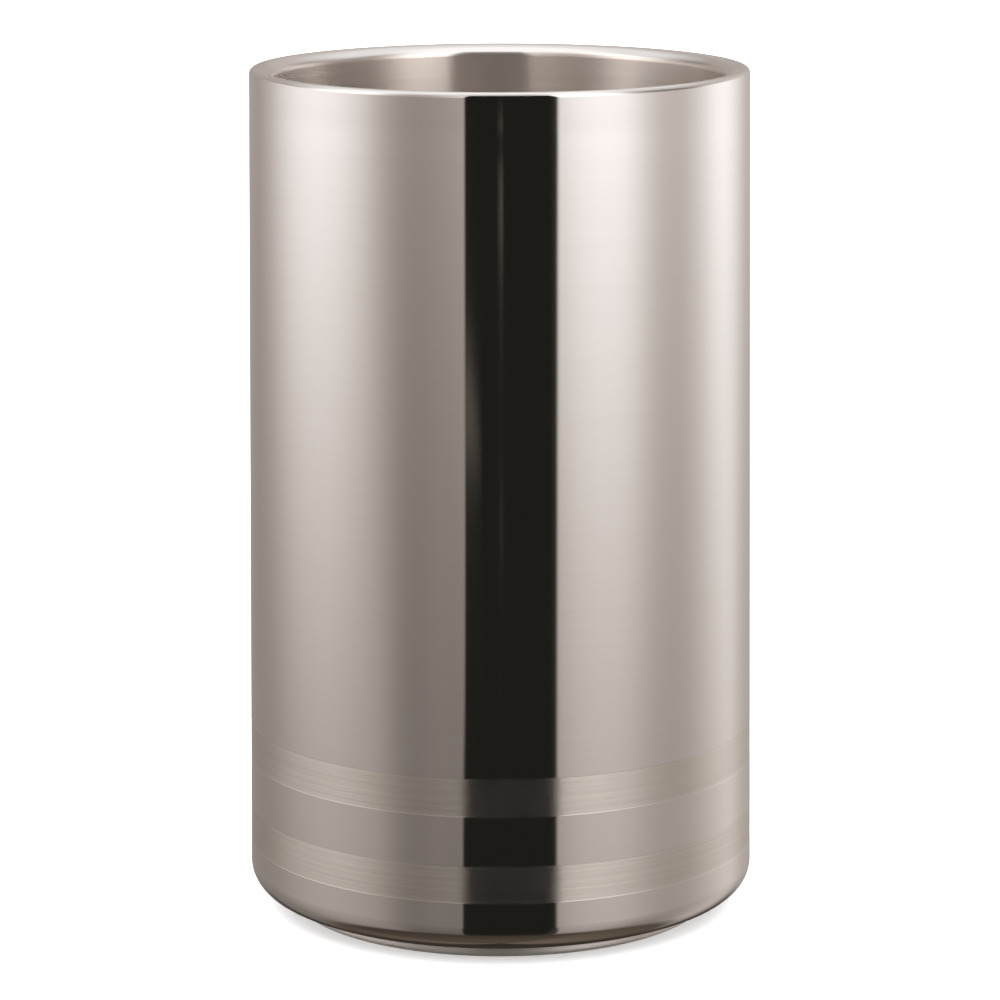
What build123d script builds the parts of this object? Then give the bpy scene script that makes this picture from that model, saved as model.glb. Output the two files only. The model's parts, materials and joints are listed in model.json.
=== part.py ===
from build123d import *
import math
import os

# Double-walled stainless-steel bottle cooler.
# Frame: millimetres, origin at the centre of the foot ring's resting plane,
# +Z straight up through the open mouth. Every piece is turned about Z.
# Outlines are drawn as (radius, height).

# ------------------------------------------------------------------ main dimensions
overall_height = 200.0       # resting plane to the crown of the lip
outer_radius = 60.0          # outside of the polished wall
well_radius = 54.3           # inside of the cup wall
shell_wall = 0.6             # sheet thickness of the outer shell
liner_wall = 0.5             # sheet thickness of the drawn inner cup
plate_wall = 0.6             # sheet thickness of the pressed base plate

# lip: a small outer roll, then a long convex slope down to the inner wall
roll_radius = 1.3
slope_height = 3.0           # vertical half-axis of the slope
seam_from = 25.0             # the rim seam, as angles on the outer roll (0 = outwards, 90 = up)
seam_to = 50.0

# outer wall: lower corner, inward flange and satin finish zones
corner_radius = 6.4          # outside radius between wall and underside
flange_bottom = 3.4          # underside of the flange above the resting plane
flange_inner_r = 51.0
lower_band = (15.3, 23.8)    # lower and upper edge of each satin zone
upper_band = (35.1, 43.9)

# inner cup
floor_top = 10.0             # inside floor of the cup
floor_corner = 8.0           # inside radius between floor and wall

# pressed base plate with its foot ring
plate_edge_r = 53.0          # outer edge of the plate's flange
foot_outer_r = 50.3          # outside of the foot ring
foot_inner_r = 46.0          # where the foot ring's inner side starts to rise
foot_bend = 0.6              # inside bend radius of the pressing
panel_bottom = 1.9           # underside of the recessed centre panel
panel_radius = 43.8          # edge of the flat part of the panel
vent_radius = 2.0            # vent hole in the middle of the panel

# fillet weld between the plate's flange and the shell's lower corner
weld_leg = 1.9               # reach from the plate's edge to the toe on the shell
weld_lap = 0.7               # lap over the plate's flange
weld_crown = 0.45            # height of the bead over the flange
weld_crown_shift = 0.15      # crown's distance outwards from the middle of the bead

# closing plug of the vent hole
plug_head_r = 4.0
plug_head_height = 0.8
plug_head_round = 0.4        # rounding of the head's lower rim
plug_round_inset = 0.12      # middle of that rounding, in from the head's side and underside
plug_spread_r = 2.9          # spread end of the stem, over the panel
plug_spread_height = 0.5
plug_spread_taper = 0.3      # how much the spread end narrows to its top

# felt pad between base plate and cup floor
pad_radius = 35.0
pad_hole_r = 6.0

# ------------------------------------------------------------------ derived places
shell_inner_r = outer_radius - shell_wall
liner_outer_r = well_radius + liner_wall
roll_centre = (outer_radius - roll_radius, overall_height - roll_radius)
roll_inside = roll_radius - shell_wall           # inner face of the shell's sheet in the roll
slope_centre = (roll_centre[0], overall_height - slope_height)
slope_width = slope_centre[0] - well_radius      # radial half-axis of the slope
corner_centre = (outer_radius - corner_radius, flange_bottom + corner_radius)
corner_inside = corner_radius - shell_wall
flange_top = flange_bottom + shell_wall
plate_top = flange_top + plate_wall              # upper face of the plate's flange
panel_top = panel_bottom + plate_wall
floor_bottom = floor_top - liner_wall


# ------------------------------------------------------------------ drawing helpers
def polar(centre, radius, degrees):
    """Point on a circle, with the angle from outwards (0) towards up (90)."""
    angle = math.radians(degrees)
    return (centre[0] + radius * math.cos(angle), centre[1] + radius * math.sin(angle))


def arc(centre, radius, start, end):
    """Circular arc between two angles of polar()."""
    middle = 0.5 * (start + end)
    ThreePointArc(*[polar(centre, radius, angle) for angle in (start, middle, end)])


def across_roll(degrees, from_radius, to_radius):
    """Straight edge through the sheet of the lip's outer roll."""
    Line(polar(roll_centre, from_radius, degrees), polar(roll_centre, to_radius, degrees))


def slope(inset):
    """Quarter ellipse from the lip's crown to the inner wall, set back into the sheet."""
    EllipticalCenterArc(
        slope_centre, slope_width - inset, slope_height - inset, start_angle=90, arc_size=90
    )


def bent_outline(corners):
    """Closed outline from (radius, height, bend radius) corners; a bend of 0 stays sharp."""
    points = [Vector(radius, height) for radius, height, _ in corners]
    count = len(points)
    bends = []  # start, middle and end of each corner; no middle where it is sharp
    for i, (_, _, bend) in enumerate(corners):
        corner = points[i]
        if not bend:
            bends.append((corner, None, corner))
            continue
        back = (points[i - 1] - corner).normalized()
        onward = (points[(i + 1) % count] - corner).normalized()
        half_angle = 0.5 * math.acos(back.dot(onward))
        reach = bend / math.tan(half_angle)
        depth = bend / math.sin(half_angle) - bend
        bisector = (back + onward).normalized()
        bends.append((corner + back * reach, corner + bisector * depth, corner + onward * reach))
    for i, (start, middle, end) in enumerate(bends):
        if middle is not None:
            ThreePointArc(start, middle, end)
        Line(end, bends[(i + 1) % count][0])


def turned(draw_outline):
    """Solid of revolution about Z from a closed outline."""
    with BuildPart() as part:
        with BuildSketch(Plane.XZ):
            with BuildLine():
                draw_outline()
            make_face()
        # clean=False keeps the wall split where the finish changes
        revolve(axis=Axis.Z, revolution_arc=360, clean=False)
    return part.part


# ------------------------------------------------------------------ outer shell
def outer_shell_outline():
    # visible wall, split at the edges of the satin zones
    levels = [corner_centre[1], *lower_band, *upper_band, roll_centre[1]]
    for low, high in zip(levels, levels[1:]):
        Line((outer_radius, low), (outer_radius, high))
    # outer roll up to the rim seam, and back along its inner face
    arc(roll_centre, roll_radius, 0, seam_from)
    across_roll(seam_from, roll_radius, roll_inside)
    arc(roll_centre, roll_inside, seam_from, 0)
    # inside of the wall, down round the corner to the flange
    Line((shell_inner_r, roll_centre[1]), (shell_inner_r, corner_centre[1]))
    arc(corner_centre, corner_inside, 0, -90)
    Polyline(
        (corner_centre[0], flange_top),
        (flange_inner_r, flange_top),
        (flange_inner_r, flange_bottom),
        (corner_centre[0], flange_bottom),
    )
    arc(corner_centre, corner_radius, -90, 0)


# ------------------------------------------------------------------ rim seam
def rim_weld_outline():
    """Bead that fills the roll between the shell's edge and the liner's edge."""
    arc(roll_centre, roll_radius, seam_from, seam_to)
    across_roll(seam_to, roll_radius, roll_inside)
    arc(roll_centre, roll_inside, seam_to, seam_from)
    across_roll(seam_from, roll_inside, roll_radius)


# ------------------------------------------------------------------ inner cup
def inner_liner_outline():
    floor_centre = (well_radius - floor_corner, floor_top + floor_corner)
    # lip: end of the outer roll, crown and slope, then the inner wall and floor
    arc(roll_centre, roll_radius, seam_to, 90)
    slope(0)
    Line((well_radius, slope_centre[1]), (well_radius, floor_centre[1]))
    arc(floor_centre, floor_corner, 0, -90)
    # across the floor to the axis, and back along the face towards the air gap
    Polyline(
        (floor_centre[0], floor_top),
        (0, floor_top),
        (0, floor_bottom),
        (floor_centre[0], floor_bottom),
    )
    arc(floor_centre, floor_corner + liner_wall, -90, 0)
    Line((liner_outer_r, floor_centre[1]), (liner_outer_r, slope_centre[1]))
    slope(liner_wall)
    arc(roll_centre, roll_radius - liner_wall, 90, seam_to)
    across_roll(seam_to, roll_radius - liner_wall, roll_radius)


# ------------------------------------------------------------------ base plate
def base_plate_outline():
    outer_bend = foot_bend + plate_wall
    foot_wall_r = foot_outer_r - plate_wall
    # inner side of the foot ring rises as a cone; its upper face is the lower one
    # moved by the sheet thickness at right angles to the slope
    run, rise = foot_inner_r - panel_radius, panel_bottom
    length = math.hypot(run, rise)
    shift_r, shift_z = plate_wall * rise / length, plate_wall * run / length

    def cone_top_r(height):
        """Radius of the cone's upper face at a height."""
        return foot_inner_r + shift_r - (height - shift_z) * run / rise

    bent_outline(
        [
            # radius, height, bend radius
            (plate_edge_r, flange_top, 0),
            (foot_outer_r, flange_top, foot_bend),
            (foot_outer_r, 0, outer_bend),
            (foot_inner_r, 0, outer_bend),
            (panel_radius, panel_bottom, foot_bend),
            (vent_radius, panel_bottom, 0),
            (vent_radius, panel_top, 0),
            (cone_top_r(panel_top), panel_top, outer_bend),
            (cone_top_r(plate_wall), plate_wall, foot_bend),
            (foot_wall_r, plate_wall, foot_bend),
            (foot_wall_r, plate_top, outer_bend),
            (plate_edge_r, plate_top, 0),
        ]
    )


# ------------------------------------------------------------------ base weld
def base_weld_outline():
    def on_shell(radius):
        """Point on the inside of the shell's lower corner."""
        drop = math.sqrt(corner_inside**2 - (radius - corner_centre[0]) ** 2)
        return (radius, corner_centre[1] - drop)

    toe_r = plate_edge_r + weld_leg
    toe = on_shell(toe_r)
    start = (plate_edge_r - weld_lap, plate_top)
    crown = (0.5 * (start[0] + toe[0]) + weld_crown_shift, plate_top + weld_crown)
    corner_start = (corner_centre[0], flange_top)
    Polyline(start, (plate_edge_r, plate_top), (plate_edge_r, flange_top), corner_start)
    ThreePointArc(corner_start, on_shell(0.5 * (corner_centre[0] + toe_r)), toe)
    ThreePointArc(toe, crown, start)


# ------------------------------------------------------------------ vent plug
def vent_plug_outline():
    head_bottom = panel_bottom - plug_head_height
    spread_top = panel_top + plug_spread_height
    round_start = (plug_head_r - plug_head_round, head_bottom)
    round_middle = (plug_head_r - plug_round_inset, head_bottom + plug_round_inset)
    round_end = (plug_head_r, head_bottom + plug_head_round)
    Line((0, head_bottom), round_start)
    ThreePointArc(round_start, round_middle, round_end)
    # head against the panel, stem through the hole, spread end above
    Polyline(
        round_end,
        (plug_head_r, panel_bottom),
        (vent_radius, panel_bottom),
        (vent_radius, panel_top),
        (plug_spread_r, panel_top),
        (plug_spread_r - plug_spread_taper, spread_top),
        (0, spread_top),
        (0, head_bottom),
    )


# ------------------------------------------------------------------ floor pad
def floor_pad_outline():
    Polyline(
        (pad_hole_r, panel_top),
        (pad_radius, panel_top),
        (pad_radius, floor_bottom),
        (pad_hole_r, floor_bottom),
        close=True,
    )


# ------------------------------------------------------------------ build and export
pieces = {
    "outer_shell": outer_shell_outline,
    "rim_weld_bead": rim_weld_outline,
    "inner_liner": inner_liner_outline,
    "base_plate": base_plate_outline,
    "base_weld_bead": base_weld_outline,
    "vent_plug": vent_plug_outline,
    "floor_pad": floor_pad_outline,
}

os.makedirs("parts", exist_ok=True)
for name, draw_outline in pieces.items():
    solid = turned(draw_outline)
    solid.label = name
    export_step(solid, f"parts/{name}.step")
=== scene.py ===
import json
import math

import bpy
import numpy as np
from mathutils import Matrix, Vector, noise


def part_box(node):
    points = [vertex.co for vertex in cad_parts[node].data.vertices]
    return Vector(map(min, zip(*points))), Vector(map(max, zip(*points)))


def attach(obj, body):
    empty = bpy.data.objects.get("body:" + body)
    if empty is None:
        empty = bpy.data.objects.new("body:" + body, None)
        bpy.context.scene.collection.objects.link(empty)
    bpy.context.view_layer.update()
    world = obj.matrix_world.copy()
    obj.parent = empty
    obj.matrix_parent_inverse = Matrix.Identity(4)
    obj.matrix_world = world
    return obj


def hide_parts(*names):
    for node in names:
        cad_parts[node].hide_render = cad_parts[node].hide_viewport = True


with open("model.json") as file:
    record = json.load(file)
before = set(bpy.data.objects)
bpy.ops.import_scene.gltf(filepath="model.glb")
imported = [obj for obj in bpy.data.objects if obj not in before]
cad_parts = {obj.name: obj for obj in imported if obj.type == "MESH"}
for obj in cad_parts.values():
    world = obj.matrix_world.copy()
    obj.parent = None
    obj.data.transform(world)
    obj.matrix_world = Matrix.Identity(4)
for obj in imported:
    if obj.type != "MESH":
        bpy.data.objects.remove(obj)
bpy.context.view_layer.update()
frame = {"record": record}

MM = 0.001
TAU = 2.0 * math.pi

# ------------------------------------------------------------------ sizes, from the CAD frame
shell_lo, shell_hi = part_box("outer_shell")
liner_lo, liner_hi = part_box("inner_liner")
plate_lo, plate_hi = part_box("base_plate")
pad_lo, pad_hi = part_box("floor_pad")
plug_lo, plug_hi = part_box("vent_plug")
bead_lo, bead_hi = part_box("base_weld_bead")
record = frame["record"]
well = next(m for m in record["mounts"] if m["name"] == "bottle_well")
seat = next(m for m in record["mounts"] if m["name"] == "bottle_seat")

R_OUT = shell_hi.x / MM                      # outside of the wall
H_TOP = liner_hi.z / MM                      # crown of the lip
FLANGE_Z = shell_lo.z / MM                   # underside of the shell's flange
CORNER_R = 6.4
SHELL_T = 0.6
LINER_T = 0.5
PLATE_T = 0.6
R_WELL = float(well["dims"]["r_mm"])         # inside of the cup
FLOOR_Z = float(seat["pos_m"][2]) / MM       # inside floor of the cup
FLOOR_R = 8.0
ROLL = 1.3
CROWN_R = R_OUT - ROLL
SLOPE_R, SLOPE_Z = 4.4, 3.0
SEAM_A, SEAM_B = 25.0, 50.0
SEAM_ROOT = 0.7
FLANGE_IN = 51.0
FOOT_R = 50.3
PLATE_EDGE = plate_hi.x / MM
BANDS = ((15.3, 23.8), (35.1, 43.9))         # satin finish zones on the wall
BAND_DEPTH = 0.015
BAND_BEVEL = 0.12
SEGMENTS = 384


# ------------------------------------------------------------------ lathe
class Profile:
    """A closed outline in (radius, height), in millimetres, drawn so that the material lies on the left.
    Each run keeps its own normals, so a bend reads as a bend and a flat as a flat."""

    def __init__(self):
        self.runs = []

    def line(self, a, b, slot, pieces=1):
        t = np.linspace(0, 1, pieces + 1)[:, None]
        pts = np.array(a, float) * (1 - t) + np.array(b, float) * t
        d = np.array(b, float) - np.array(a, float)
        d /= np.linalg.norm(d)
        self.runs.append((pts, np.tile([d[1], -d[0]], (len(pts), 1)), slot))
        return self

    def arc(self, centre, radius, start, end, slot, pieces=None):
        return self.ellipse(centre, radius, radius, start, end, slot, pieces)

    def ellipse(self, centre, half_r, half_z, start, end, slot, pieces=None):
        pieces = pieces or max(4, int(abs(end - start) / 5))
        a = np.radians(np.linspace(start, end, pieces + 1))
        pts = np.stack([centre[0] + half_r * np.cos(a), centre[1] + half_z * np.sin(a)], 1)
        n = np.stack([half_z * np.cos(a), half_r * np.sin(a)], 1) * (1 if end > start else -1)
        self.runs.append((pts, n / np.linalg.norm(n, axis=1)[:, None], slot))
        return self

    def curve(self, pts, slot):
        """A smooth run through many points."""
        pts = np.array(pts, float)
        d = np.gradient(pts, axis=0)
        d /= np.linalg.norm(d, axis=1)[:, None]
        self.runs.append((pts, np.stack([d[:, 1], -d[:, 0]], 1), slot))
        return self


def lathe(name, profile, materials, segments=SEGMENTS, move=None):
    """The profile turned once about Z as one closed mesh. move(x, y, z) may nudge each vertex, in millimetres."""
    verts, faces, slots, normals = [], [], [], []
    ang = np.arange(segments) * (TAU / segments)
    ca, sa = np.cos(ang), np.sin(ang)
    ring_of, rings = {}, []

    def ring(p):
        key = (round(float(p[0]), 5), round(float(p[1]), 5))
        if key not in ring_of:
            start = len(verts)
            if key[0] < 1e-6:
                verts.append((0.0, 0.0, p[1]))
                ring_of[key] = (start, 1)
            else:
                verts.extend(zip(p[0] * ca, p[0] * sa, np.full(segments, p[1])))
                ring_of[key] = (start, segments)
        return ring_of[key]

    for pts, nrm, slot in profile.runs:
        for i in range(len(pts) - 1):
            a, b = ring(pts[i]), ring(pts[i + 1])
            if a == b:
                continue
            for j in range(segments):
                k = (j + 1) % segments
                corner = []
                if a[1] == 1:
                    corner = [(a[0], i, j), (b[0] + k, i + 1, k), (b[0] + j, i + 1, j)]
                elif b[1] == 1:
                    corner = [(a[0] + j, i, j), (a[0] + k, i, k), (b[0], i + 1, j)]
                else:
                    corner = [(a[0] + j, i, j), (a[0] + k, i, k), (b[0] + k, i + 1, k), (b[0] + j, i + 1, j)]
                faces.append([c[0] for c in corner])
                slots.append(slot)
                for _, at, turn in corner:
                    normals.append((nrm[at][0] * ca[turn], nrm[at][0] * sa[turn], nrm[at][1]))
    co = np.array(verts, float)
    if move is not None:
        co = move(co)
    mesh = bpy.data.meshes.new(name)
    mesh.from_pydata((co * MM).tolist(), [], faces)
    for m in materials:
        mesh.materials.append(m)
    mesh.polygons.foreach_set("material_index", slots)
    mesh.polygons.foreach_set("use_smooth", [True] * len(faces))
    mesh.update()
    if move is None:
        mesh.normals_split_custom_set(normals)
    else:
        mesh.set_sharp_from_angle(angle=math.radians(50))
    mesh.validate()
    ob = bpy.data.objects.new(name, mesh)
    bpy.context.scene.collection.objects.link(ob)
    return ob


# ------------------------------------------------------------------ node helpers
class Nodes:
    def __init__(self, tree):
        self.t = tree
        self.t.nodes.clear()

    def new(self, kind, **values):
        n = self.t.nodes.new(kind)
        for k, v in values.items():
            setattr(n, k, v)
        return n

    def link(self, a, b):
        self.t.links.new(a, b)

    def put(self, socket, value):
        if isinstance(value, bpy.types.NodeSocket):
            self.link(value, socket)
        elif value is not None:
            socket.default_value = value

    def math(self, op, a, b=None, c=None, clamp=False):
        n = self.new("ShaderNodeMath", operation=op, use_clamp=clamp)
        self.put(n.inputs[0], a)
        if b is not None:
            self.put(n.inputs[1], b)
        if c is not None:
            self.put(n.inputs[2], c)
        return n.outputs[0]

    def smooth(self, value, lo, hi, to_lo=0.0, to_hi=1.0):
        n = self.new("ShaderNodeMapRange", interpolation_type="SMOOTHSTEP", clamp=True)
        self.put(n.inputs["Value"], value)
        n.inputs["From Min"].default_value = lo
        n.inputs["From Max"].default_value = hi
        n.inputs["To Min"].default_value = to_lo
        n.inputs["To Max"].default_value = to_hi
        return n.outputs["Result"]

    def remap(self, value, lo, hi, to_lo, to_hi):
        n = self.new("ShaderNodeMapRange", clamp=True)
        self.put(n.inputs["Value"], value)
        n.inputs["From Min"].default_value = lo
        n.inputs["From Max"].default_value = hi
        n.inputs["To Min"].default_value = to_lo
        n.inputs["To Max"].default_value = to_hi
        return n.outputs["Result"]

    def mix(self, factor, a, b):
        n = self.new("ShaderNodeMix", data_type="RGBA")
        self.put(n.inputs["Factor"], factor)
        ins = [s for s in n.inputs if s.type == "RGBA"]
        self.put(ins[0], a)
        self.put(ins[1], b)
        return next(s for s in n.outputs if s.type == "RGBA")

    def mixf(self, factor, a, b):
        n = self.new("ShaderNodeMix", data_type="FLOAT")
        self.put(n.inputs[0], factor)
        self.put(n.inputs[2], a)
        self.put(n.inputs[3], b)
        return n.outputs[0]

    def scale(self, colour, value):
        n = self.new("ShaderNodeVectorMath", operation="SCALE")
        self.put(n.inputs[0], colour)
        self.put(n.inputs["Scale"], value)
        return n.outputs[0]

    def vec(self, x, y, z):
        n = self.new("ShaderNodeCombineXYZ")
        self.put(n.inputs[0], x)
        self.put(n.inputs[1], y)
        self.put(n.inputs[2], z)
        return n.outputs[0]

    def noise(self, vector, scale=1.0, detail=2.0, rough=0.5, distortion=0.0):
        n = self.new("ShaderNodeTexNoise")
        self.put(n.inputs["Vector"], vector)
        n.inputs["Scale"].default_value = scale
        n.inputs["Detail"].default_value = detail
        n.inputs["Roughness"].default_value = rough
        n.inputs["Distortion"].default_value = distortion
        return n.outputs["Fac"]

    def bump(self, height, distance, normal=None, strength=1.0):
        n = self.new("ShaderNodeBump")
        n.inputs["Strength"].default_value = strength
        n.inputs["Distance"].default_value = distance
        self.put(n.inputs["Height"], height)
        if normal is not None:
            self.link(normal, n.inputs["Normal"])
        return n.outputs["Normal"]


def brushed_metal(
    name,
    colour,
    tint=(1.0, 1.0, 1.0),
    colour_swing=0.02,
    rough=(0.08, 0.10),
    anisotropic=0.9,
    line_pitch=0.25,
    line_run=25.0,
    line_depth=0.0,
    coarse_pitch=1.2,
    coarse_depth=0.0,
    wave_pitch=3.0,
    wave_depth=0.0,
    blotch=8.0,
    edges=None,
    edge_highlight_colour=None,
    buffed=None,
    metallic=1.0,
    haze=0.0,
):
    """Metal finished round the axis. line_pitch is the spacing of the finishing lines and line_run the length of one, in millimetres;
    the depths are in micrometres. Waves are the slight lengthwise unevenness of a rolled and buffed wall. buffed is a pair of heights
    between which the brushing gives way to a mirror finish. haze is how unevenly the finishing lines scatter light."""
    mat = bpy.data.materials.new(name)
    mat.use_nodes = True
    n = Nodes(mat.node_tree)
    out = n.new("ShaderNodeOutputMaterial")
    p = n.new("ShaderNodeBsdfPrincipled")
    n.link(p.outputs[0], out.inputs["Surface"])
    where = n.new("ShaderNodeTexCoord").outputs["Object"]
    sep = n.new("ShaderNodeSeparateXYZ")
    n.link(where, sep.inputs[0])
    x, y, z = sep.outputs
    r = n.math("SQRT", n.math("ADD", n.math("MULTIPLY", x, x), n.math("MULTIPLY", y, y)))
    across = n.math("ADD", z, r)          # runs down the wall, round the corner and in over the floor
    run = 1.0 / (line_run * MM)
    fine = n.noise(
        n.vec(n.math("MULTIPLY", x, run), n.math("MULTIPLY", y, run), n.math("MULTIPLY", across, 1.0 / (line_pitch * MM))),
        detail=3.0, rough=0.65,
    )
    wide = n.noise(
        n.vec(n.math("MULTIPLY", x, run * 0.45), n.math("MULTIPLY", y, run * 0.45), n.math("MULTIPLY", across, 1.0 / (coarse_pitch * MM))),
        detail=2.0, rough=0.6,
    )
    cloud = n.noise(where, scale=1.0 / (blotch * 4 * MM), detail=3.0, rough=0.55)
    tone = n.math("ADD", n.math("MULTIPLY", fine, 0.45), n.math("ADD", n.math("MULTIPLY", wide, 0.35), n.math("MULTIPLY", cloud, 0.2)))
    darker = tuple(c * (1 - colour_swing) for c in colour)
    lighter = tuple(min(1.0, c * (1 + colour_swing) * t) for c, t in zip(colour, tint))
    base = n.mix(n.smooth(tone, 0.3, 0.7), (*darker, 1), (*lighter, 1))
    roughness = n.remap(n.math("ADD", n.math("MULTIPLY", fine, 0.5), n.math("MULTIPLY", cloud, 0.5)), 0.3, 0.7, rough[0], rough[1])
    # painted highlight: the base colour is lightened within about a millimetre of each band edge
    if edges:
        edge_highlight = None
        for level in edges:
            gap = n.math("ABSOLUTE", n.math("SUBTRACT", z, level * MM))
            gap = n.math("ADD", gap, n.math("MULTIPLY", n.math("SUBTRACT", wide, 0.5), 0.5 * MM))
            here = n.smooth(gap, 0.25 * MM, 1.0 * MM, 1.0, 0.0)
            edge_highlight = here if edge_highlight is None else n.math("MAXIMUM", edge_highlight, here)
        base = n.mix(edge_highlight, base, (*edge_highlight_colour, 1))
    p.inputs["Metallic"].default_value = metallic
    if haze:
        n.link(n.remap(fine, 0.38, 0.64, metallic - haze, min(1.0, metallic + haze)), p.inputs["Metallic"])
    keep = None
    if buffed:
        keep = n.smooth(n.math("MULTIPLY_ADD", n.math("SUBTRACT", wide, 0.5), 0.5 * MM, z), buffed[0] * MM, buffed[1] * MM, 1.0, 0.0)
        base = n.mix(keep, (0.735, 0.706, 0.688, 1), base)
        roughness = n.mixf(keep, 0.09, roughness)
        n.link(n.math("MULTIPLY_ADD", keep, metallic - 1.0, 1.0), p.inputs["Metallic"])
    n.link(base, p.inputs["Base Color"])
    n.link(roughness, p.inputs["Roughness"])
    p.inputs["Anisotropic"].default_value = anisotropic
    p.inputs["Anisotropic Rotation"].default_value = 0.25
    tangent = n.new("ShaderNodeTangent", direction_type="RADIAL", axis="Z")
    n.link(tangent.outputs[0], p.inputs["Tangent"])
    normal = None
    if wave_depth:
        wv = n.noise(
            n.vec(n.math("MULTIPLY", x, 1.0 / (wave_pitch * MM)), n.math("MULTIPLY", y, 1.0 / (wave_pitch * MM)), n.math("MULTIPLY", z, 1.0 / (90 * MM))),
            detail=2.0, rough=0.6,
        )
        normal = n.bump(n.math("MULTIPLY", wv, keep) if buffed else wv, wave_depth * 1e-6, normal)
    if coarse_depth:
        normal = n.bump(n.math("MULTIPLY", wide, keep) if buffed else wide, coarse_depth * 1e-6, normal)
    if line_depth:
        normal = n.bump(n.math("MULTIPLY", fine, keep) if buffed else fine, line_depth * 1e-6, normal)
    if normal is not None:
        n.link(normal, p.inputs["Normal"])
    return mat


polished = brushed_metal(
    "polished_steel", (0.735, 0.706, 0.688), colour_swing=0.012, rough=(0.050, 0.070), anisotropic=0.8,
    line_pitch=0.35, line_run=40, line_depth=0.05, coarse_pitch=2.5, coarse_depth=0.25, wave_pitch=3.2, wave_depth=0.8, blotch=10,
)
seam = brushed_metal(
    "polished_seam", (0.75, 0.72, 0.70), colour_swing=0.03, rough=(0.31, 0.38), anisotropic=0.85,
    line_pitch=0.15, line_run=8, line_depth=0.25, coarse_pitch=0.6, coarse_depth=0.5, blotch=3,
)
# both satin bands get a painted highlight along their edges
satin_low = brushed_metal(
    "satin_band_lower", (0.642, 0.612, 0.569), tint=(1.0, 0.995, 0.98), colour_swing=0.05, rough=(0.155, 0.195), anisotropic=1.0,
    line_pitch=0.22, line_run=70, line_depth=11.0, coarse_pitch=0.9, coarse_depth=9.0, blotch=4, metallic=0.9945, haze=0.0055,
    edges=BANDS[0], edge_highlight_colour=(0.665, 0.635, 0.592),
)
satin_high = brushed_metal(
    "satin_band_upper", (0.642, 0.612, 0.569), tint=(1.0, 0.995, 0.98), colour_swing=0.05, rough=(0.155, 0.195), anisotropic=1.0,
    line_pitch=0.22, line_run=70, line_depth=11.0, coarse_pitch=0.9, coarse_depth=9.0, blotch=4, metallic=0.9945, haze=0.0055,
    edges=BANDS[1], edge_highlight_colour=(0.665, 0.635, 0.592),
)
inside = brushed_metal(
    "brushed_cup", (0.715, 0.65, 0.60), colour_swing=0.07, rough=(0.246, 0.260), anisotropic=1.0,
    line_pitch=0.3, line_run=60, line_depth=1.2, coarse_pitch=1.6, coarse_depth=2.5, wave_pitch=9.0, wave_depth=8.0, blotch=6,
    buffed=(197.7, 198.4), metallic=0.94,
)
mill = brushed_metal(
    "mill_finish_back", (0.50, 0.485, 0.47), colour_swing=0.06, rough=(0.42, 0.52), anisotropic=0.4,
    line_pitch=0.5, line_run=12, line_depth=2.0, coarse_pitch=2.0, coarse_depth=3.0, blotch=5,
)
pressed = brushed_metal(
    "pressed_plate", (0.58, 0.545, 0.515), colour_swing=0.06, rough=(0.36, 0.46), anisotropic=0.5,
    line_pitch=0.3, line_run=14, line_depth=3.0, coarse_pitch=1.4, coarse_depth=5.0, blotch=6, metallic=0.86,
)
plug_metal = brushed_metal(
    "turned_plug", (0.64, 0.62, 0.60), colour_swing=0.05, rough=(0.18, 0.26), anisotropic=0.9,
    line_pitch=0.12, line_run=3, line_depth=1.5, coarse_pitch=0.5, coarse_depth=2.0, blotch=2,
)


def weld_material():
    mat = bpy.data.materials.new("weld_bead")
    mat.use_nodes = True
    n = Nodes(mat.node_tree)
    out = n.new("ShaderNodeOutputMaterial")
    p = n.new("ShaderNodeBsdfPrincipled")
    n.link(p.outputs[0], out.inputs["Surface"])
    where = n.new("ShaderNodeTexCoord").outputs["Object"]
    heat = n.noise(where, scale=160.0, detail=4.0, rough=0.6)
    ramp = n.new("ShaderNodeValToRGB")
    stops = ((0.30, (0.36, 0.34, 0.33)), (0.45, (0.55, 0.47, 0.33)), (0.56, (0.47, 0.33, 0.27)), (0.68, (0.30, 0.32, 0.42)))
    while len(ramp.color_ramp.elements) < len(stops):
        ramp.color_ramp.elements.new(0.5)
    for e, (at, c) in zip(ramp.color_ramp.elements, stops):
        e.position = at
        e.color = (*c, 1)
    n.link(heat, ramp.inputs[0])
    n.link(ramp.outputs[0], p.inputs["Base Color"])
    p.inputs["Metallic"].default_value = 1.0
    grain = n.noise(where, scale=2600.0, detail=3.0, rough=0.6)
    n.link(n.remap(grain, 0.3, 0.7, 0.32, 0.48), p.inputs["Roughness"])
    n.link(n.bump(grain, 8e-6), p.inputs["Normal"])
    return mat


def felt_material():
    mat = bpy.data.materials.new("felt")
    mat.use_nodes = True
    n = Nodes(mat.node_tree)
    out = n.new("ShaderNodeOutputMaterial")
    p = n.new("ShaderNodeBsdfPrincipled")
    n.link(p.outputs[0], out.inputs["Surface"])
    where = n.new("ShaderNodeTexCoord").outputs["Object"]
    fibre = n.noise(where, scale=1500.0, detail=5.0, rough=0.7, distortion=1.6)
    clump = n.noise(where, scale=260.0, detail=3.0, rough=0.6)
    tone = n.math("ADD", n.math("MULTIPLY", fibre, 0.6), n.math("MULTIPLY", clump, 0.4))
    n.link(n.mix(n.smooth(tone, 0.32, 0.68), (0.20, 0.195, 0.185, 1), (0.46, 0.45, 0.43, 1)), p.inputs["Base Color"])
    n.link(n.remap(fibre, 0.3, 0.7, 0.86, 0.98), p.inputs["Roughness"])
    p.inputs["Sheen Weight"].default_value = 0.25
    n.link(n.bump(fibre, 1.2e-4, n.bump(clump, 2.5e-4)), p.inputs["Normal"])
    return mat


welded = weld_material()
felt = felt_material()

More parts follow.
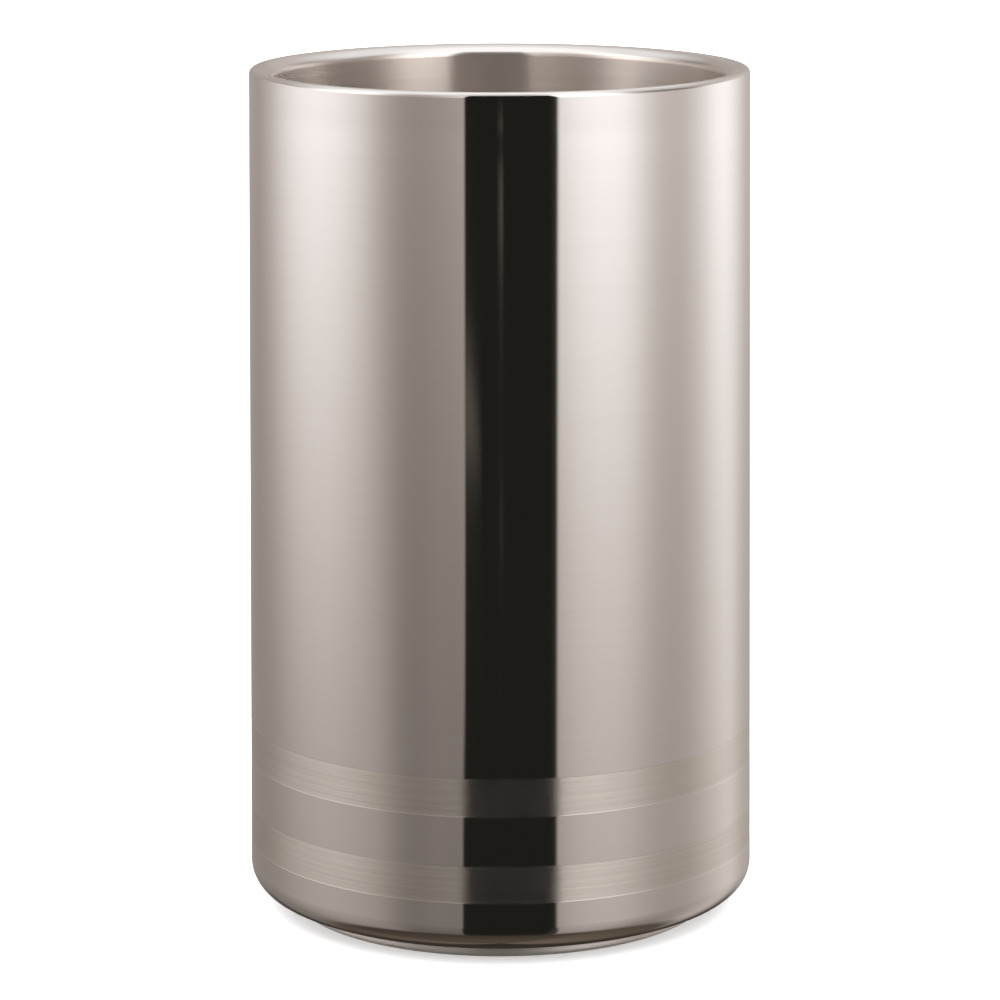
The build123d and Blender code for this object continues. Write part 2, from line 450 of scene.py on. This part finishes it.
# ------------------------------------------------------------------ outer shell
roll_c = (CROWN_R, H_TOP - ROLL)
corner_c = (R_OUT - CORNER_R, FLANGE_Z + CORNER_R)
FLANGE_TOP = FLANGE_Z + SHELL_T
GROOVE_Z, GROOVE_W, GROOVE_D = 190.6, 3.9, 0.021      # the faint hollow left by finishing the welded rim


def polar(c, radius, degrees):
    a = math.radians(degrees)
    return (c[0] + radius * math.cos(a), c[1] + radius * math.sin(a))


def wall_run(z):
    return R_OUT - GROOVE_D * math.exp(-(((z - GROOVE_Z) / GROOVE_W) ** 2))


POL, LOW, HIGH, BACK = 0, 1, 2, 3
shell = Profile()
level = corner_c[1]
for (lo, hi), slot in zip(BANDS, (LOW, HIGH)):
    shell.line((R_OUT, level), (R_OUT, lo), POL, 3)
    shell.line((R_OUT, lo), (R_OUT - BAND_DEPTH, lo + BAND_BEVEL), slot)
    shell.line((R_OUT - BAND_DEPTH, lo + BAND_BEVEL), (R_OUT - BAND_DEPTH, hi - BAND_BEVEL), slot, 6)
    shell.line((R_OUT - BAND_DEPTH, hi - BAND_BEVEL), (R_OUT, hi), slot)
    level = hi
GROOVE_FROM = GROOVE_Z - 13.0
shell.line((R_OUT, level), (R_OUT, GROOVE_FROM), POL, 8)
zs = np.linspace(GROOVE_FROM, roll_c[1], 46)
top_gap = R_OUT - wall_run(roll_c[1])
shell.curve([(wall_run(z) + top_gap * max(0.0, (z - 196.0) / (roll_c[1] - 196.0)), z) if z > GROOVE_FROM else (R_OUT, z) for z in zs], POL)
shell.arc(roll_c, ROLL, 0, SEAM_A, POL, 8)
shell.line(polar(roll_c, ROLL, SEAM_A), polar(roll_c, ROLL - SHELL_T, SEAM_A), BACK)
shell.arc(roll_c, ROLL - SHELL_T, SEAM_A, 0, BACK, 5)
shell.line((R_OUT - SHELL_T, roll_c[1]), (R_OUT - SHELL_T, corner_c[1]), BACK, 6)
shell.arc(corner_c, CORNER_R - SHELL_T, 0, -90, BACK, 14)
shell.line((corner_c[0], FLANGE_TOP), (FLANGE_IN, FLANGE_TOP), BACK, 2)
shell.line((FLANGE_IN, FLANGE_TOP), (FLANGE_IN, FLANGE_Z), POL)
shell.line((FLANGE_IN, FLANGE_Z), (corner_c[0], FLANGE_Z), POL, 2)
shell.arc(corner_c, CORNER_R, -90, 0, POL, 30)
shell_ob = lathe("outer_shell_visual", shell, [polished, satin_low, satin_high, mill])

# ------------------------------------------------------------------ rim seam
rim = Profile()
rim.arc(roll_c, ROLL, SEAM_A, SEAM_B, 0, 8)
rim.line(polar(roll_c, ROLL, SEAM_B), polar(roll_c, SEAM_ROOT, SEAM_B), 0)
rim.arc(roll_c, SEAM_ROOT, SEAM_B, SEAM_A, 0, 5)
rim.line(polar(roll_c, SEAM_ROOT, SEAM_A), polar(roll_c, ROLL, SEAM_A), 0)
rim_ob = lathe("rim_weld_bead_visual", rim, [seam])

# ------------------------------------------------------------------ inner cup
slope_c = (CROWN_R, H_TOP - SLOPE_Z)
floor_c = (R_WELL - FLOOR_R, FLOOR_Z + FLOOR_R)
cup = Profile()
cup.arc(roll_c, ROLL, SEAM_B, 90, 0, 12)
cup.ellipse(slope_c, SLOPE_R, SLOPE_Z, 90, 180, 0, 40)
cup.line((R_WELL, slope_c[1]), (R_WELL, floor_c[1]), 0, 12)
cup.arc(floor_c, FLOOR_R, 0, -90, 0, 24)
cup.line((floor_c[0], FLOOR_Z), (0, FLOOR_Z), 0, 8)
cup.line((0, FLOOR_Z - LINER_T), (floor_c[0], FLOOR_Z - LINER_T), 1, 8)
cup.arc(floor_c, FLOOR_R + LINER_T, -90, 0, 1, 18)
cup.line((R_WELL + LINER_T, floor_c[1]), (R_WELL + LINER_T, slope_c[1]), 1, 8)
cup.ellipse(slope_c, SLOPE_R - LINER_T, SLOPE_Z - LINER_T, 180, 90, 1, 20)
cup.arc(roll_c, ROLL - LINER_T, 90, SEAM_B, 1, 8)
cup.line(polar(roll_c, ROLL - LINER_T, SEAM_B), polar(roll_c, ROLL, SEAM_B), 1)


cup_ob = lathe("inner_liner_visual", cup, [inside, mill])

# ------------------------------------------------------------------ base plate
def bent(corners, slot, profile):
    """Rounded outline from (radius, height, bend) corners, closed."""
    legs, count = [], len(corners)
    for i, (r, z, bend) in enumerate(corners):
        if not bend:
            legs.append(((r, z), None, (r, z)))
            continue
        p = np.array((r, z), float)
        a = np.array(corners[i - 1][:2], float) - p
        b = np.array(corners[(i + 1) % count][:2], float) - p
        a /= np.linalg.norm(a)
        b /= np.linalg.norm(b)
        half = 0.5 * math.acos(float(a @ b))
        reach = bend / math.tan(half)
        mid = (a + b) / np.linalg.norm(a + b)
        c = p + mid * (bend / math.sin(half))
        legs.append((tuple(p + a * reach), (c, bend), tuple(p + b * reach)))
    for i, (start, middle, end) in enumerate(legs):
        if middle:
            c, radius = middle
            a0 = math.degrees(math.atan2(start[1] - c[1], start[0] - c[0]))
            a1 = math.degrees(math.atan2(end[1] - c[1], end[0] - c[0]))
            while a1 - a0 > 180:
                a1 -= 360
            while a1 - a0 < -180:
                a1 += 360
            profile.arc(c, radius, a0, a1, slot, 9)
        nxt = legs[(i + 1) % count][0]
        if math.dist(end, nxt) > 1e-6:
            profile.line(end, nxt, slot, 4 if math.dist(end, nxt) > 10 else 1)


def plate_corners():
    t, bend, foot_in, panel_r, panel_z, vent = PLATE_T, 0.6, 46.0, 43.8, 1.9, 2.0
    ro, ri = FOOT_R, FOOT_R - t
    run, rise = foot_in - panel_r, panel_z
    length = math.hypot(run, rise)
    off_r, off_z = t * rise / length, t * run / length
    low_r = foot_in + off_r - (t - off_z) * run / rise
    high_r = foot_in + off_r - (panel_z + t - off_z) * run / rise
    top = FLANGE_TOP + t
    return [
        (PLATE_EDGE, FLANGE_TOP, 0), (ro, FLANGE_TOP, bend), (ro, 0, bend + t), (foot_in, 0, bend + t),
        (panel_r, panel_z, bend), (vent, panel_z, 0), (vent, panel_z + t, 0), (high_r, panel_z + t, bend + t),
        (low_r, t, bend), (ri, t, bend), (ri, top, bend + t), (PLATE_EDGE, top, 0),
    ]


plate = Profile()
bent(plate_corners()[::-1], 0, plate)
plate_ob = lathe("base_plate_visual", plate, [pressed])

# ------------------------------------------------------------------ vent plug
plug = Profile()
low, under = plug_lo.z / MM, 1.9
top = plug_hi.z / MM
head = plug_hi.x / MM
plug.line((0, low), (head - 0.4, low), 0, 3)
plug.arc((head - 0.4, low + 0.4), 0.4, -90, 0, 0, 8)
plug.line((head, low + 0.4), (head, under), 0)
plug.line((head, under), (2.0, under), 0)
plug.line((2.0, under), (2.0, under + PLATE_T), 0)
plug.line((2.0, under + PLATE_T), (2.9, under + PLATE_T), 0)
plug.line((2.9, under + PLATE_T), (2.6, top), 0)
plug.line((2.6, top), (0, top), 0, 2)
plug_ob = lathe("vent_plug_visual", plug, [plug_metal], segments=96)

# ------------------------------------------------------------------ base weld
def weld_profile():
    ri = CORNER_R - SHELL_T
    def on_shell(r):
        return (r, corner_c[1] - math.sqrt(ri * ri - (r - corner_c[0]) ** 2))
    toe_r = PLATE_EDGE + 1.9
    top_z = FLANGE_TOP + PLATE_T
    start, toe = (PLATE_EDGE - 0.7, top_z), on_shell(toe_r)
    crown = (0.5 * (start[0] + toe[0]) + 0.15, top_z + 0.45)
    prof = Profile()
    prof.line(start, (PLATE_EDGE, top_z), 0)
    prof.line((PLATE_EDGE, top_z), (PLATE_EDGE, FLANGE_TOP), 0)
    prof.line((PLATE_EDGE, FLANGE_TOP), (corner_c[0], FLANGE_TOP), 0)
    prof.curve([on_shell(r) for r in np.linspace(corner_c[0], toe_r, 6)], 0)
    # circle through toe, crown and start
    (ax, ay), (bx, by), (cx, cy) = toe, crown, start
    d = 2 * (ax * (by - cy) + bx * (cy - ay) + cx * (ay - by))
    ux = ((ax**2 + ay**2) * (by - cy) + (bx**2 + by**2) * (cy - ay) + (cx**2 + cy**2) * (ay - by)) / d
    uy = ((ax**2 + ay**2) * (cx - bx) + (bx**2 + by**2) * (ax - cx) + (cx**2 + cy**2) * (bx - ax)) / d
    a0 = math.degrees(math.atan2(ay - uy, ax - ux))
    a1 = math.degrees(math.atan2(cy - uy, cx - ux))
    prof.arc((ux, uy), math.hypot(ax - ux, ay - uy), a0, a1, 0, 12)
    return prof, top_z


bead_prof, bead_top = weld_profile()


def ripples(co):
    """The overlapping scales a weld pool leaves as it travels."""
    ang = np.arctan2(co[:, 1], co[:, 0])
    r = np.hypot(co[:, 0], co[:, 1])
    high = np.clip((co[:, 2] - bead_top + 0.25) / 0.5, 0, 1)
    side = (r - (PLATE_EDGE + 0.6)) / 1.3
    phase = ang * 210 / TAU * TAU + 1.6 * side * side
    saw = (phase / TAU) % 1.0
    bump = np.where(saw < 0.8, saw / 0.8, (1 - saw) / 0.2) - 0.5
    slow = 0.5 * np.sin(ang * 7 + 1.1) + 0.3 * np.sin(ang * 19 + 0.4)
    out = co.copy()
    out[:, 2] += high * (0.045 * bump + 0.03 * slow)
    return out


bead_ob = lathe("base_weld_bead_visual", bead_prof, [welded], segments=1680, move=ripples)

# ------------------------------------------------------------------ felt pad
pad = Profile()
pl, ph, pr, phole = pad_lo.z / MM, pad_hi.z / MM, pad_hi.x / MM, 6.0
edge = 0.9
pad.line((phole + edge * 0.6, pl), (pr - edge, pl), 0, 26)
pad.arc((pr - edge, pl + edge), edge, -90, 0, 0, 6)
pad.line((pr, pl + edge), (pr, ph - edge), 0, 8)
pad.arc((pr - edge, ph - edge), edge, 0, 90, 0, 6)
pad.line((pr - edge, ph), (phole + edge * 0.6, ph), 0, 26)
pad.arc((phole + edge * 0.6, ph - edge * 0.6), edge * 0.6, 90, 180, 0, 4)
pad.line((phole, ph - edge * 0.6), (phole, pl + edge * 0.6), 0, 6)
pad.arc((phole + edge * 0.6, pl + edge * 0.6), edge * 0.6, 180, 270, 0, 4)


def felted(co):
    """A cut felt disc: slightly bulged round its side, with a soft uneven nap that stays within its space."""
    out = co.copy()
    r = np.hypot(co[:, 0], co[:, 1])
    mid, half = 0.5 * (pl + ph), 0.5 * (ph - pl)
    for i, (x, y, z) in enumerate(co):
        w = noise.noise(Vector((x * 0.35, y * 0.35, z * 0.35))) * 0.6 + noise.noise(Vector((x * 1.3, y * 1.3, z * 1.3))) * 0.4
        inset = 0.10 + 0.10 * w
        level = (z - mid) / half
        out[i, 2] = z - inset * math.copysign(min(1.0, abs(level) ** 3), level)
        if r[i] > pr - 1.5:
            k = (r[i] - 0.28 * level * level - 0.12 + 0.12 * w) / r[i]
            out[i, 0], out[i, 1] = x * k, y * k
        elif r[i] < phole + 1.0:
            k = (r[i] + 0.12 + 0.10 * w) / r[i]
            out[i, 0], out[i, 1] = x * k, y * k
    return out


pad_ob = lathe("floor_pad_visual", pad, [felt], segments=256, move=felted)

# ------------------------------------------------------------------ riding and replacing
for ob, node, slot in (
    (shell_ob, "outer_shell", "polished_steel"),
    (rim_ob, "rim_weld_bead", "polished_seam"),
    (cup_ob, "inner_liner", "brushed_steel"),
    (plate_ob, "base_plate", "pressed_steel"),
    (plug_ob, "vent_plug", "plug_steel"),
    (bead_ob, "base_weld_bead", "weld_steel"),
    (pad_ob, "floor_pad", "felt"),
):
    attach(ob, "root")
    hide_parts(node)

# ------------------------------------------------------------------ studio
scene = bpy.context.scene
scene.view_settings.view_transform = "Standard"
scene.view_settings.look = "None"

# floor: a wide pale sheet
bpy.ops.mesh.primitive_grid_add(x_subdivisions=8, y_subdivisions=8, size=16, location=(0, 0, 0))
floor = bpy.context.object
floor.name = "floor"
fm = bpy.data.materials.new("pale_floor")
fm.use_nodes = True
n = Nodes(fm.node_tree)
out = n.new("ShaderNodeOutputMaterial")
p = n.new("ShaderNodeBsdfPrincipled")
clear = n.new("ShaderNodeBsdfTransparent")           # seen from below, the sheet lets the foot show
side_of = n.new("ShaderNodeMixShader")
n.link(n.new("ShaderNodeNewGeometry").outputs["Backfacing"], side_of.inputs[0])
n.link(p.outputs[0], side_of.inputs[1])
n.link(clear.outputs[0], side_of.inputs[2])
n.link(side_of.outputs[0], out.inputs["Surface"])
grain = n.noise(n.new("ShaderNodeTexCoord").outputs["Object"], scale=40.0, detail=2.0)
n.link(n.mix(grain, (0.885, 0.885, 0.885, 1), (0.905, 0.905, 0.905, 1)), p.inputs["Base Color"])
p.inputs["Roughness"].default_value = 1.0
p.inputs["Specular IOR Level"].default_value = 0.0
p.inputs["Emission Color"].default_value = (1.0, 1.0, 1.0, 1.0)
p.inputs["Emission Strength"].default_value = 0.30      # painted light: the sheet itself glows, washing its contact shadow out towards white
floor.data.materials.append(fm)
floor.visible_glossy = False      # polished walls see the lamps' surround instead

# surround: a pale room, two large soft boxes at the sides, a lamp overhead and a dark card in front round the camera
world = bpy.data.worlds.new("studio")
scene.world = world
world.use_nodes = True
w = Nodes(world.node_tree)
wout = w.new("ShaderNodeOutputWorld")
sky = w.new("ShaderNodeTexCoord").outputs["Generated"]
unit = w.new("ShaderNodeVectorMath", operation="NORMALIZE")
w.link(sky, unit.inputs[0])
sp = w.new("ShaderNodeSeparateXYZ")
w.link(unit.outputs[0], sp.inputs[0])
dx, dy, dz = sp.outputs
azimuth = w.math("MULTIPLY", w.math("ARCTAN2", dx, w.math("MULTIPLY", dy, -1.0)), 180 / math.pi)   # 0 towards the camera, + to the right
elevation = w.math("MULTIPLY", w.math("ARCSINE", dz), 180 / math.pi)
turn = w.math("MULTIPLY_ADD", azimuth, 1 / 360, 0.5)


def ring(stops, strength):
    """Light round the horizon: (azimuth in degrees, level from 0 to 1)."""
    r = w.new("ShaderNodeValToRGB")
    ramp = r.color_ramp
    ramp.interpolation = "B_SPLINE"
    while len(ramp.elements) < len(stops):
        ramp.elements.new(0.5)
    for e, (at, level) in zip(ramp.elements, stops):
        e.position = at / 360 + 0.5
        e.color = (level, level, level, 1)
    w.link(turn, r.inputs[0])
    return w.math("MULTIPLY", r.outputs[0], strength)


# above the mouth, level with it, and low down by the table
upper = ring(
    [(-180, 0.246), (-172, 0.17), (-160, 0.18), (-148, 0.16), (-136, 0.11), (-127, 0.09), (-118, 0.11), (-107, 0.22), (-97, 0.45), (-86, 0.66),
     (-74, 0.80), (-64, 0.62), (-54, 0.31), (-44, 0.17), (-32, 0.185), (-18, 0.34), (5, 0.40), (24, 0.69), (36, 0.98), (47, 1.0),
     (58, 0.50), (68, 0.19), (78, 0.10), (92, 0.10), (104, 0.13), (116, 0.16), (130, 0.15), (146, 0.23), (162, 0.23), (180, 0.234)], 2.6,
)
high = ring(
    [(-180, 0.321), (-165, 0.29), (-150, 0.295), (-140, 0.305), (-125, 0.49), (-110, 0.80), (-95, 0.94), (-80, 0.90), (-66, 0.675), (-54, 0.375),
     (-42, 0.253), (-30, 0.272), (-18, 0.33), (5, 0.40), (27, 0.77), (40, 0.97), (52, 1.0), (62, 0.91), (73, 0.565), (84, 0.475), (95, 0.49),
     (108, 0.77), (118, 0.96), (128, 0.96), (140, 0.69), (152, 0.44), (165, 0.375), (180, 0.304)], 1.335,
)
low_ring = ring(
    [(-180, 0.314), (-160, 0.28), (-145, 0.285), (-130, 0.30), (-118, 0.35), (-105, 0.43), (-90, 0.485), (-78, 0.47), (-67, 0.43), (-56, 0.378),
     (-46, 0.219), (-37, 0.20), (-27, 0.235), (-18, 0.20), (5, 0.29), (27, 0.44), (36, 0.55), (46, 0.585), (56, 0.58), (66, 0.495), (77, 0.41),
     (90, 0.40), (104, 0.51), (120, 0.71), (131, 0.76), (141, 0.57), (152, 0.46), (165, 0.42), (180, 0.286)], 1.0,
)
t = w.remap(elevation, -16.0, -6.4, 0.0, 1.0)
level_now = w.mixf(w.math("POWER", t, 1.35), low_ring, high)
rear = w.smooth(w.math("ABSOLUTE", azimuth), 140.0, 165.0)
side = w.smooth(w.math("ABSOLUTE", azimuth), 92.0, 114.0)
rise = w.mixf(side, w.smooth(elevation, -3.0, 11.0), w.smooth(elevation, 9.0, 22.0))
rise = w.mixf(rear, rise, w.smooth(elevation, 5.0, 24.0))
level_now = w.mixf(rise, level_now, upper)
# the table top darkens towards the foot
sink = w.math("ADD", w.remap(elevation, -18.5, -16.0, 0.0, 0.12),
              w.math("ADD", w.remap(elevation, -29.0, -18.5, 0.0, 0.08), w.remap(elevation, -43.0, -29.0, 0.65, 0.80)))
level_now = w.math("MULTIPLY", level_now, sink)
# a bright strip of backdrop straight behind
behind = w.math("MULTIPLY", w.smooth(w.math("ABSOLUTE", azimuth), 177.4, 179.7), w.math("MULTIPLY", w.smooth(elevation, -8.0, -3.0), w.smooth(elevation, -2.5, 0.5, 1.0, 0.0)))
level_now = w.mixf(behind, level_now, 1.08)
# the dimmer parts of the room are the warmer ones
warm = w.vec(w.remap(level_now, 0.35, 1.0, 1.125, 1.03), 1.0, w.remap(level_now, 0.35, 1.1, 0.912, 0.99))
side_light = w.scale(warm, level_now)
# overhead lamp
aside = w.smooth(w.math("ABSOLUTE", azimuth), 82.0, 105.0)
overhead = w.mixf(aside, w.smooth(elevation, 33.0, 68.0), w.smooth(elevation, 22.0, 50.0))
aside = w.math("MULTIPLY", aside, w.smooth(elevation, 55.0, 75.0, 1.0, 0.0))
side_light = w.mix(overhead, side_light, w.scale((1.36, 1.35, 1.34), w.remap(aside, 0.0, 1.0, 1.0, 0.76)))
# the card
lean = w.remap(elevation, -17.0, -6.2, 1.0, 0.0)
below = w.remap(elevation, -46.0, -18.0, 1.0, 0.0)
drift = w.math("ADD", w.remap(elevation, -14.6, -12.3, 0.29, 0.0), w.math("ADD", w.smooth(elevation, -15.05, -14.6, 0.73, 0.0), w.remap(elevation, -17.0, -15.0, 0.34, 0.0)))
left_turn = w.math("ADD", w.math("ADD", w.math("SUBTRACT", azimuth, 0.20), drift), w.math("MULTIPLY", below, 2.8))
right_turn = w.math("SUBTRACT", w.math("MULTIPLY_ADD", lean, 0.92, azimuth), w.math("MULTIPLY", below, 4.6))
left_edge = w.smooth(left_turn, -16.6, -15.2)
right_edge = w.smooth(right_turn, 25.1, 27.3, 1.0, 0.0)
card_top = w.smooth(elevation, 54.0, 62.0, 1.0, 0.0)
card = w.math("MULTIPLY", w.math("MULTIPLY", left_edge, right_edge), card_top)
skirt = w.smooth(azimuth, 22.5, 26.5, 0.0, 0.030)
card_level = w.math("ADD", skirt, 0.0155)
across_a = w.math("MULTIPLY", w.smooth(azimuth, -1.7, 0.7), w.smooth(azimuth, 1.0, 2.0, 1.0, 0.0))
glint_a = w.math("MULTIPLY", across_a, w.math("MULTIPLY", w.smooth(elevation, -8.10, -7.92), w.smooth(elevation, -7.3, -7.1, 1.0, 0.0)))
trail = w.math("MULTIPLY", across_a, w.math("MULTIPLY", w.smooth(elevation, -11.0, -8.2), w.smooth(elevation, -8.0, -7.0, 1.0, 0.0)))
glint_c = w.math("MULTIPLY", across_a, w.math("MULTIPLY", w.smooth(elevation, -12.4, -12.1), w.smooth(elevation, -11.9, -11.4, 1.0, 0.0)))
wedge_to = w.remap(elevation, -10.95, -9.75, -7.8, -13.4)
glint_b = w.math("MULTIPLY",
                 w.smooth(w.math("SUBTRACT", azimuth, wedge_to), -0.7, 0.3, 1.0, 0.0),
                 w.math("MULTIPLY", w.smooth(elevation, -11.10, -10.95), w.smooth(elevation, -9.9, -9.6, 1.0, 0.0)))
glints = w.math("ADD", w.math("MULTIPLY", glint_a, 0.115), w.math("MULTIPLY", glint_b, 0.110))
glints = w.math("ADD", glints, w.math("ADD", w.math("MULTIPLY", trail, 0.010), w.math("MULTIPLY", glint_c, 0.030)))
card_level = w.math("ADD", card_level, glints)
card_colour = w.scale((1.06, 1.0, 0.86), card_level)
around = w.mix(card, side_light, card_colour)
# the table close to the foot, in the body's own shade
foot_shade = w.smooth(elevation, -53.0, -43.0, 1.0, 0.0)
foot_side = w.math("MAXIMUM", w.smooth(azimuth, 30.0, 60.0), w.smooth(azimuth, -130.0, -90.0, 1.0, 0.0))
foot_colour = w.mix(foot_side, (0.068, 0.053, 0.040, 1), (0.112, 0.089, 0.068, 1))
foot_colour = w.scale(foot_colour, w.remap(elevation, -75.0, -46.0, 1.5, 0.8))
around = w.mix(foot_shade, around, foot_colour)
# and the dark gap under the foot, seen only at the shell's last tangent line
gap = w.math("MULTIPLY", w.smooth(w.math("ABSOLUTE", azimuth), 140.0, 165.0), w.smooth(elevation, -30.0, -21.0, 1.0, 0.0))
around = w.mix(gap, around, (0.045, 0.036, 0.028, 1))

path = w.new("ShaderNodeLightPath")
room = w.mix(path.outputs["Is Diffuse Ray"], around, (2.5, 2.5, 2.5, 1))
seen = w.mix(path.outputs["Is Camera Ray"], room, (1.0, 1.0, 1.0, 1))
bg = w.new("ShaderNodeBackground")
w.link(seen, bg.inputs["Color"])
w.link(bg.outputs[0], wout.inputs["Surface"])
world.cycles.sampling_method = "NONE"

# ------------------------------------------------------------------ camera
CAM_Y, CAM_Z, PITCH, ROLL_DEG = -0.992, 0.2994, 2.15, -0.092
cam_data = bpy.data.cameras.new("camera")
cam = bpy.data.objects.new("camera", cam_data)
scene.collection.objects.link(cam)
cam_data.sensor_width = 36.0
cam_data.lens = 4153 * 36.0 / 1000
cam_data.clip_start, cam_data.clip_end = 0.02, 60.0
cam.location = (0.0, CAM_Y, CAM_Z)
tilt = Matrix.Rotation(math.radians(90 - PITCH), 4, "X")
spin = Matrix.Rotation(math.radians(ROLL_DEG), 4, "Z")
cam.rotation_mode = "QUATERNION"
cam.rotation_quaternion = (tilt @ spin).to_quaternion()
scene.camera = cam


def view_camera_shift(path, value):
    """A rising-front lens shift that holds at this camera position only, so that the same camera stays centred elsewhere."""
    curve = cam_data.driver_add(path)
    d = curve.driver
    d.type = "SCRIPTED"
    for var, kind in (("cy", "LOC_Y"), ("cz", "LOC_Z")):
        v = d.variables.new()
        v.name = var
        v.type = "TRANSFORMS"
        v.targets[0].id = cam
        v.targets[0].transform_type = kind
        v.targets[0].transform_space = "WORLD_SPACE"
    d.expression = f"{value} if abs(cy - {CAM_Y}) < 0.001 and abs(cz - {CAM_Z}) < 0.001 else 0.0"


view_camera_shift("shift_x", 0.0009)
view_camera_shift("shift_y", -0.693)
